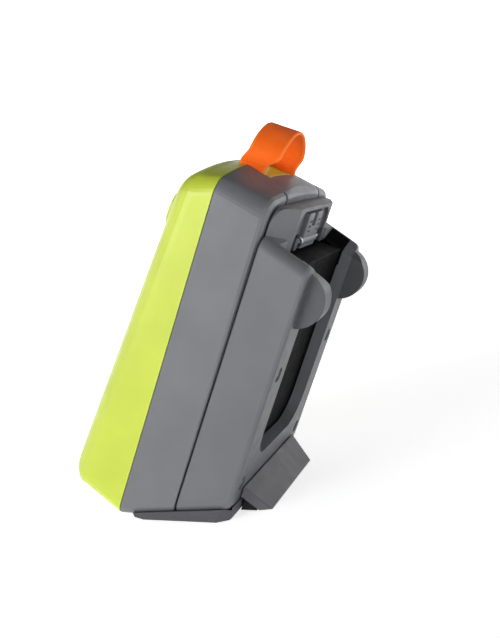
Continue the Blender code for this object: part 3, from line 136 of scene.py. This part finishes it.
class Graph:
    """A material's node tree with short calls to add and join nodes."""

    def __init__(self, name):
        self.material = bpy.data.materials.new(name)
        self.material.use_nodes = True
        self.tree = self.material.node_tree
        self.shader = self.tree.nodes["Principled BSDF"]
        self.spot = 0

    def add(self, kind, inputs=None, **settings):
        node = self.tree.nodes.new(kind)
        self.spot += 1
        node.location = (-220 * (self.spot % 6) - 300, -180 * (self.spot // 6))
        for key, value in settings.items():
            setattr(node, key, value)
        for key, value in (inputs or {}).items():
            self.put(value, node.inputs[key])
        return node

    def put(self, value, socket):
        """Joins an output to the socket, or sets the socket to a constant."""
        if isinstance(value, bpy.types.NodeSocket):
            self.tree.links.new(value, socket)
        else:
            socket.default_value = value

    def place(self):
        """Object coordinates in metres."""
        return self.add("ShaderNodeTexCoord").outputs["Object"]

    def noise(self, where, size, detail=3.0, roughness=0.5):
        """Noise from 0 to 1 whose features are about size metres across."""
        inputs = {"Vector": where, "Scale": 1 / size, "Detail": detail, "Roughness": roughness}
        return self.add("ShaderNodeTexNoise", inputs).outputs["Fac"]

    def math(self, operation, a, b=0.0, clamp=False):
        node = self.add("ShaderNodeMath", {0: a, 1: b}, operation=operation)
        node.use_clamp = clamp
        return node.outputs[0]

    def scale(self, value, low, high, start=0.0, end=1.0):
        """Value's range from start to end carried to the range from low to high."""
        inputs = {"Value": value, "From Min": start, "From Max": end, "To Min": low, "To Max": high}
        return self.add("ShaderNodeMapRange", inputs).outputs["Result"]

    def mix(self, amount, a, b):
        """Colour a blended into colour b by the amount; either may be a socket."""
        node = self.add("ShaderNodeMix", data_type="RGBA")
        for value, socket in zip((amount, a, b), (0, 6, 7)):
            self.put((*value, 1) if isinstance(value, tuple) else value, node.inputs[socket])
        return node.outputs[2]

    def soft_edges(self, radius):
        """Normals rounded over sharp edges."""
        return self.add("ShaderNodeBevel", {"Radius": radius}, samples=4).outputs["Normal"]

    def bump(self, height, distance, strength=1.0, normal=None):
        inputs = {"Height": height, "Distance": distance, "Strength": strength}
        if normal is not None:
            inputs["Normal"] = normal
        return self.add("ShaderNodeBump", inputs).outputs["Normal"]

    def edge_mask(self, radius):
        """1 near sharp edges, 0 on flat ground: how far the rounded normal turns from the true one."""
        rounded = self.soft_edges(radius)
        true = self.add("ShaderNodeNewGeometry").outputs["Normal"]
        dot = self.add("ShaderNodeVectorMath", {0: rounded, 1: true}, operation="DOT_PRODUCT")
        return self.scale(dot.outputs["Value"], 1.0, 0.0, EDGE_DOT, FLAT_DOT)

    def finish(self, **sockets):
        for key, value in sockets.items():
            self.put(value, self.shader.inputs[key.replace("_", " ")])
        return self.material


def tint(colour, factor):
    return tuple(min(c * factor, 1.0) for c in colour)


def clamp(value):
    return min(max(value, 0), 1)


def moulded(
    name,
    colour,
    roughness,
    grain=0.35 * MM,
    depth=0.035 * MM,
    wear_and_highlight=0.25,
    edge=0.45 * MM,
    spec=0.45,
    painted_ear_shade=False,
):
    """Moulded plastic: fine spark-eroded grain, faint flow mottling, edges a little paler (painted highlight
    and wear) and smoother.

    When asked for, the guard ears behind the frame's back plane are drawn darker: painted shade on the same
    plastic."""
    g = Graph(name)
    where = g.place()
    fine = g.noise(where, grain, 4.0, 0.6)
    flow = g.noise(where, 22 * MM, 2.0, 0.5)
    smudge = g.noise(where, 6 * MM, 5.0, 0.65)
    tone = g.mix(g.scale(flow, 0, 1, 0.3, 0.7), tint(colour, 0.93), tint(colour, 1.06))
    tone = g.mix(g.scale(fine, 0.0, 0.16, 0.35, 0.7), tone, tint(colour, 0.72))
    if painted_ear_shade:
        split = g.add("ShaderNodeSeparateXYZ", {"Vector": where})
        back = unit_matrix() @ Vector((0, FRAME_REAR, 0))
        lean_y = g.math("MULTIPLY", g.math("SUBTRACT", split.outputs["Y"], back.y), cos(LEAN))
        lean_z = g.math("MULTIPLY", g.math("SUBTRACT", split.outputs["Z"], back.z), sin(LEAN))
        behind = g.math("SUBTRACT", lean_y, lean_z)
        # painted shade: the guard ears behind the back plane drawn at half brightness
        tone = g.mix(g.scale(behind, 0, 1, *EAR_SHADE_FADE), tone, tint(colour, 0.5))
    # painted highlight and wear: edges drawn paler, more where the smudge noise is high
    edge_highlight_and_wear = g.math("MULTIPLY", g.edge_mask(edge), g.scale(smudge, wear_and_highlight * 0.5, wear_and_highlight, 0.35, 0.7))
    tone = g.mix(edge_highlight_and_wear, tone, tuple(0.8 * c + 0.35 * max(colour) for c in colour))
    shine = g.scale(smudge, roughness - 0.07, roughness + 0.07, 0.3, 0.7)
    normal = g.bump(fine, depth, 0.55, g.soft_edges(edge))
    return g.finish(Base_Color=tone, Roughness=shine, Normal=normal, Specular_IOR_Level=spec)


def rubber(name, colour, roughness=0.78):
    """Matt rubber: even grain, pale dust caught in it."""
    g = Graph(name)
    where = g.place()
    fine = g.noise(where, 0.22 * MM, 5.0, 0.7)
    dust = g.noise(where, 4 * MM, 6.0, 0.7)
    tone = g.mix(g.scale(dust, 0.0, 0.2, 0.55, 0.8), colour, tuple(1.3 * c + 0.02 for c in colour))
    tone = g.mix(g.scale(fine, 0.0, 0.2, 0.4, 0.7), tone, tint(colour, 0.6))
    shine = g.scale(dust, roughness - 0.08, roughness + 0.1, 0.3, 0.7)
    normal = g.bump(fine, 0.04 * MM, 0.6, g.soft_edges(0.3 * MM))
    return g.finish(Base_Color=tone, Roughness=shine, Normal=normal, Specular_IOR_Level=0.3)


def metal(name, colour, roughness, stretch=(1, 12, 1), plated=False):
    """Metal with fine draw lines along one direction and a few duller patches."""
    g = Graph(name)
    where = g.place()
    mapped = g.add("ShaderNodeMapping", {"Vector": where, "Scale": stretch}).outputs["Vector"]
    lines = g.noise(mapped, 0.6 * MM, 4.0, 0.7)
    patch = g.noise(where, 3 * MM, 4.0, 0.6)
    tone = g.mix(g.scale(patch, 0, 1, 0.35, 0.7), tint(colour, 0.8), tint(colour, 1.08))
    shine = g.scale(lines, roughness - 0.08, roughness + 0.14, 0.3, 0.7)
    normal = g.bump(lines, 0.012 * MM, 0.5, g.soft_edges(0.2 * MM))
    made = g.finish(Base_Color=tone, Roughness=shine, Normal=normal, Metallic=1.0)
    if plated:
        g.shader.inputs["Coat Weight"].default_value = 0.3
    return made


def lens():
    """Hard-coated window over a dark display: glossy, with faint smears."""
    g = Graph("lens_glass_look")
    where = g.place()
    smear = g.noise(where, 9 * MM, 5.0, 0.7)
    speck = g.noise(where, 0.8 * MM, 2.0, 0.5)
    tone = g.mix(g.scale(smear, 0, 1, 0.35, 0.75), GLASS, tint(GLASS, 2.2))
    shine = g.scale(smear, 0.03, 0.16, 0.35, 0.8)
    normal = g.bump(speck, 0.002 * MM, 0.3)
    made = g.finish(Base_Color=tone, Roughness=shine, Normal=normal, Specular_IOR_Level=0.6)
    g.shader.inputs["Coat Weight"].default_value = 0.6
    g.shader.inputs["Coat Roughness"].default_value = 0.04
    return made


def display():
    """Unlit display stack: dark grey-green with a very fine row structure."""
    g = Graph("screen_look")
    where = g.place()
    split = g.add("ShaderNodeSeparateXYZ", {"Vector": where})
    rows = g.math("SINE", g.math("MULTIPLY", split.outputs["Z"], 2 * pi / (0.25 * MM)))
    cloud = g.noise(where, 18 * MM, 2.0, 0.5)
    tone = g.mix(g.scale(rows, 0, 0.25, -1, 1), SCREEN, tint(SCREEN, 1.5))
    tone = g.mix(g.scale(cloud, 0, 0.3, 0.3, 0.7), tone, tint(SCREEN, 0.6))
    return g.finish(Base_Color=tone, Roughness=g.scale(cloud, 0.16, 0.26, 0.3, 0.7))


def board():
    """Solder-masked board: copper areas showing through the mask as paler blocks."""
    g = Graph("circuit_board_look")
    where = g.place()
    cells = g.add("ShaderNodeTexVoronoi", {"Vector": where, "Scale": 1 / (5 * MM)}, distance="MANHATTAN")
    copper = g.scale(cells.outputs["Distance"], 0, 1, 0.25, 0.5)
    grain = g.noise(where, 0.5 * MM, 3.0, 0.5)
    tone = g.mix(copper, BOARD, tint(BOARD, 1.9))
    shine = g.scale(grain, 0.25, 0.45, 0.3, 0.7)
    return g.finish(Base_Color=tone, Roughness=shine, Normal=g.bump(copper, 0.03 * MM, 0.4))


def ceramic():
    """Fired ceramic: dense speckle, dry surface."""
    g = Graph("antenna_ceramic_look")
    where = g.place()
    speckle = g.noise(where, 0.35 * MM, 5.0, 0.75)
    cloud = g.noise(where, 7 * MM, 3.0, 0.5)
    tone = g.mix(g.scale(speckle, 0, 1, 0.4, 0.7), tint(CERAMIC, 0.8), tint(CERAMIC, 1.12))
    tone = g.mix(g.scale(cloud, 0, 0.3, 0.3, 0.7), tone, tint(CERAMIC, 0.85))
    shine = g.scale(speckle, 0.5, 0.68, 0.3, 0.7)
    return g.finish(Base_Color=tone, Roughness=shine, Normal=g.bump(speckle, 0.03 * MM, 0.5))


def webbing():
    """Woven nylon: ribs across the band, warp ends along it, a tighter rolled edge, fuzz and uneven dye."""
    g = Graph("orange_webbing_look")
    uv = g.add("ShaderNodeUVMap", uv_map="weave").outputs["UV"]
    where = g.place()
    split = g.add("ShaderNodeSeparateXYZ", {"Vector": uv})
    across, along = split.outputs["X"], split.outputs["Y"]
    drift = g.scale(g.noise(where, 3 * MM, 3.0), -0.35, 0.35)
    ends = g.math("MULTIPLY", across, 2 * pi / WARP_PITCH)
    warp = g.math("SINE", g.math("ADD", ends, drift))
    over = g.math("SINE", g.math("MULTIPLY", across, pi / WARP_PITCH))
    turn = g.math("MULTIPLY", g.math("SIGN", over), pi / 2)
    picks = g.math("ADD", g.math("MULTIPLY", along, 2 * pi / RIB_PITCH), g.math("ADD", turn, drift))
    rib = g.math("SINE", picks)
    weave = g.math("MULTIPLY", g.scale(warp, 0.35, 1.0, -1, 1), g.scale(rib, 0.25, 1.0, -1, 1))
    fuzz = g.noise(where, 0.18 * MM, 5.0, 0.75)
    dye = g.noise(where, 5 * MM, 4.0, 0.6)
    tone = g.mix(g.scale(weave, 0, 1, 0.15, 0.8), tint(ORANGE, 0.86), tint(ORANGE, 1.05))
    tone = g.mix(g.scale(dye, 0, 0.35, 0.35, 0.7), tone, ORANGE_WORN)
    middle = g.math("ABSOLUTE", g.math("SUBTRACT", across, WEBBING_WIDTH / 2))
    selvedge = g.scale(middle, 0, 1, *SELVEDGE)
    tone = g.mix(g.math("MULTIPLY", selvedge, 0.55), tone, ORANGE_EDGE)
    height = g.math("ADD", weave, g.math("MULTIPLY", fuzz, 0.35))
    shine = g.scale(fuzz, 0.62, 0.86, 0.3, 0.7)
    made = g.finish(Base_Color=tone, Roughness=shine, Normal=g.bump(height, 0.05 * MM, 0.6))
    g.shader.inputs["Sheen Weight"].default_value = 0.04
    g.shader.inputs["Sheen Roughness"].default_value = 0.5
    g.shader.inputs["Specular IOR Level"].default_value = 0.12
    return made


def paint_frame():
    """Gives every CAD node its material."""
    lime = moulded("lime_plastic_look", LIME, 0.36, wear_and_highlight=0.35)
    grey = moulded("grey_plastic_look", GREY, 0.46)
    rear = moulded("rear_grey_plastic_ear_shade_look", REAR_GREY, 0.48, painted_ear_shade=True)
    foot = moulded("foot_plastic_shaded_look", FOOT_GREY_SHADED, 0.52)
    dark = moulded("dark_plastic_look", DARK, 0.5, wear_and_highlight=0.15)
    black = moulded("black_plastic_look", BLACK, 0.6, wear_and_highlight=0.03, spec=0.03)
    gasket = rubber("groove_seal_look", GASKET)
    seal = rubber("seal_rubber_look", RUBBER)
    steel = metal("steel_look", STEEL, 0.3)
    looks = {
        "front_cover": lime,
        "mid_housing": grey,
        "latch_lever": grey,
        "rear_frame": rear,
        "rear_foot": foot,
        "base_sole": rubber("sole_rubber_look", SOLE, 0.7),
        "latch_bracket": dark,
        "speaker": dark,
        "bay_liner": black,
        "groove_seal": gasket,
        "battery_pack": black,
        "display_lens": lens(),
        "light_sensor": lens(),
        "display_panel": display(),
        "main_board": board(),
        "antenna_patch": ceramic(),
    }
    keys = moulded("key_rubber_look", KEY, 0.62, grain=0.25 * MM, wear_and_highlight=0.2)
    brass = metal("brass_contact_look", BRASS, 0.28, (1, 3, 1), plated=True)
    rubbers = (
        "display_seal",
        "keypad_membrane",
        "power_dome",
        "port_door",
        "case_seal",
        # foot_pad is a dark rubber wedge that also stands in for the shade in the recess between sole and
        # foot: painted shade in part
        "foot_pad",
    )
    for name, node in NODES.items():
        if name in looks:
            look = looks[name]
        elif name.startswith("key_"):
            look = keys
        elif name in rubbers:
            look = seal
        elif name.startswith("battery_contact"):
            look = brass
        else:
            look = steel
        if not node.data.materials:
            node.data.materials.append(look)
        for k in range(len(node.data.materials)):
            node.data.materials[k] = look


def unit_matrix():
    """Carries the unit's upright frame to where the unit stands."""
    turn = Matrix.Rotation(-LEAN, 4, "X")
    stand_y = (SOLE_FRONT[0] + SOLE_REAR_Y) / 2
    stand_z = SOLE_FRONT[1] + (stand_y - SOLE_FRONT[0]) * tan(LEAN)
    return Matrix.Translation(-(turn @ Vector((0, stand_y, stand_z)))) @ turn


def smooth_line(points, rounds):
    """Catmull-Rom curve through the points, with rounds steps between neighbours."""
    line = []
    for i in range(len(points) - 1):
        p0, p1 = points[max(i - 1, 0)], points[i]
        p2, p3 = points[i + 1], points[min(i + 2, len(points) - 1)]
        for k in range(rounds):
            t = k / rounds
            line.append(
                0.5 * (2 * p1 + (p2 - p0) * t + (2 * p0 - 5 * p1 + 4 * p2 - p3) * t**2)
                + 0.5 * (3 * p1 - p0 - 3 * p2 + p3) * t**3
            )
    return line + [points[-1]]


def strap_line():
    half = [Vector((x * MM, z * MM)) for x, z in STRAP_LINE]
    return smooth_line(half + [Vector((-p.x, p.y)) for p in reversed(half)], STRAP_ROUNDS)


def band_edges(point):
    """Front and back of the band at a point of its line."""
    side = 1 if point.x > 0 else -1
    t = clamp((point.y - STRAP_ROOT_Z) / (STRAP_FULL_Z - STRAP_ROOT_Z))
    t = t * t * (3 - 2 * t)
    return [a + (b - a) * t for a, b in zip(STRAP_ROOT_Y[side], STRAP_TOP_Y)]


def crease(point, share, travel):
    """How far the band's surface sinks: slanting folds low on the far leg, a gentle belly near the roots."""
    low = clamp((CREASE_TOP_Z - point.y) / CREASE_FADE) * clamp((point.y - STRAP_ROOT_Z) / MM)
    strength = 1.0 if point.x < 0 else NEAR_LEG_CREASE
    folds = sin(2 * pi * (travel / CREASE_PITCH + share * CREASE_SLANT)) * strength
    return CREASE_DEPTH * low * folds * sin(pi * share)


def make_strap():
    """The webbing loop as a closed skin: a soft-edged section carried along its line, with UVs for weave."""
    line = strap_line()
    bm = bmesh.new()
    uvs = bm.loops.layers.uv.new("weave")
    rings = []
    travel = 0.0
    for i, point in enumerate(line):
        ahead, behind = line[min(i + 1, len(line) - 1)], line[max(i - 1, 0)]
        along = (ahead - behind).normalized()
        out = Vector((along.y, -along.x))
        if i:
            travel += (point - line[i - 1]).length
        front, back = band_edges(point)
        ring = []
        for face in (1, -1):
            for k in range(STRAP_ACROSS + 1):
                share = k / STRAP_ACROSS
                inward = min(share, 1 - share) * (back - front)
                roll = min(inward / EDGE_ROLL, 1.0)
                half = STRAP_THICK / 2 * (EDGE_THINNING + (1 - EDGE_THINNING) * roll * (2 - roll))
                at = point + out * (face * half - crease(point, share, travel))
                ring.append((bm.verts.new((at.x, front + (back - front) * share, at.y)), share, travel))
        count = STRAP_ACROSS + 1
        rings.append(ring[:count] + ring[count:][::-1])
    for near, far in zip(rings, rings[1:]):
        for k in range(len(near)):
            j = (k + 1) % len(near)
            corners = (near[k], near[j], far[j], far[k])
            made = bm.faces.new([c[0] for c in corners])
            made.smooth = True
            for loop, corner in zip(made.loops, corners):
                loop[uvs].uv = (corner[1] * WEBBING_WIDTH, corner[2])
    for ring in (rings[0], rings[-1]):
        bm.faces.new([c[0] for c in ring])
    bmesh.ops.recalc_face_normals(bm, faces=bm.faces[:])
    mesh = bpy.data.meshes.new("webbing_loop")
    bm.to_mesh(mesh)
    bm.free()
    strap = bpy.data.objects.new("webbing_loop", mesh)
    strap.matrix_world = unit_matrix()
    bpy.context.scene.collection.objects.link(strap)
    mesh.materials.append(webbing())
    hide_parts("strap_loop")
    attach(strap, "unit")


def make_camera():
    data = bpy.data.cameras.new("camera")
    data.lens = LENS
    data.sensor_width = SENSOR
    data.clip_start = 0.01
    data.clip_end = 20.0
    camera = bpy.data.objects.new("camera", data)
    right = Vector(CAMERA_RIGHT).normalized()
    up = Vector(CAMERA_UP)
    up = (up - right * up.dot(right)).normalized()
    turn = Matrix((right, up, right.cross(up))).transposed().to_4x4()
    camera.matrix_world = Matrix.Translation(CAMERA_PLACE) @ turn
    bpy.context.scene.collection.objects.link(camera)
    bpy.context.scene.camera = camera


def area_light(name, place, target, size, power):
    data = bpy.data.lights.new(name, "AREA")
    data.shape = "RECTANGLE"
    data.size, data.size_y = size
    data.energy = power
    light = bpy.data.objects.new(name, data)
    light.location = place
    light.rotation_euler = (Vector(target) - Vector(place)).to_track_quat("-Z", "Y").to_euler()
    bpy.context.scene.collection.objects.link(light)


def stage_piece(name, points, faces, glow):
    mesh = bpy.data.meshes.new(name)
    mesh.from_pydata(points, [], faces)
    piece = bpy.data.objects.new(name, mesh)
    bpy.context.scene.collection.objects.link(piece)
    g = Graph(name)
    paper = g.noise(g.place(), 0.4, 3.0)
    tone = g.mix(g.scale(paper, 0, 1, 0.3, 0.7), STAGE_WHITE, tint(STAGE_WHITE, 0.985))
    g.finish(Base_Color=tone, Roughness=0.9, Emission_Color=(1, 1, 1, 1), Emission_Strength=glow)
    mesh.materials.append(g.material)


def make_stage():
    """A pale floor inside a low pale ring, one soft key light beside the camera, and a faint sky."""
    world = bpy.data.worlds.new("studio")
    world.use_nodes = True
    background = world.node_tree.nodes["Background"]
    background.inputs["Color"].default_value = (1, 1, 1, 1)
    background.inputs["Strength"].default_value = SKY
    bpy.context.scene.world = world
    turns = [2 * pi * k / RING_SIDES for k in range(RING_SIDES)]
    ring = [(RING_RADIUS * cos(a), RING_RADIUS * sin(a)) for a in turns]
    low = [(x, y, 0) for x, y in ring]
    high = [(x, y, RING_HEIGHT) for x, y in ring]
    walls = [
        (k, (k + 1) % RING_SIDES, (k + 1) % RING_SIDES + RING_SIDES, k + RING_SIDES)
        for k in range(RING_SIDES)
    ]
    stage_piece("floor", low, [tuple(range(RING_SIDES))], FLOOR_GLOW)
    stage_piece("backdrop", low + high, walls, WALL_GLOW)
    area_light("key", KEY_PLACE, KEY_TARGET, KEY_SIZE, KEY_POWER)
    bpy.context.scene.view_settings.view_transform = "Standard"


paint_frame()
make_strap()
make_camera()
make_stage()
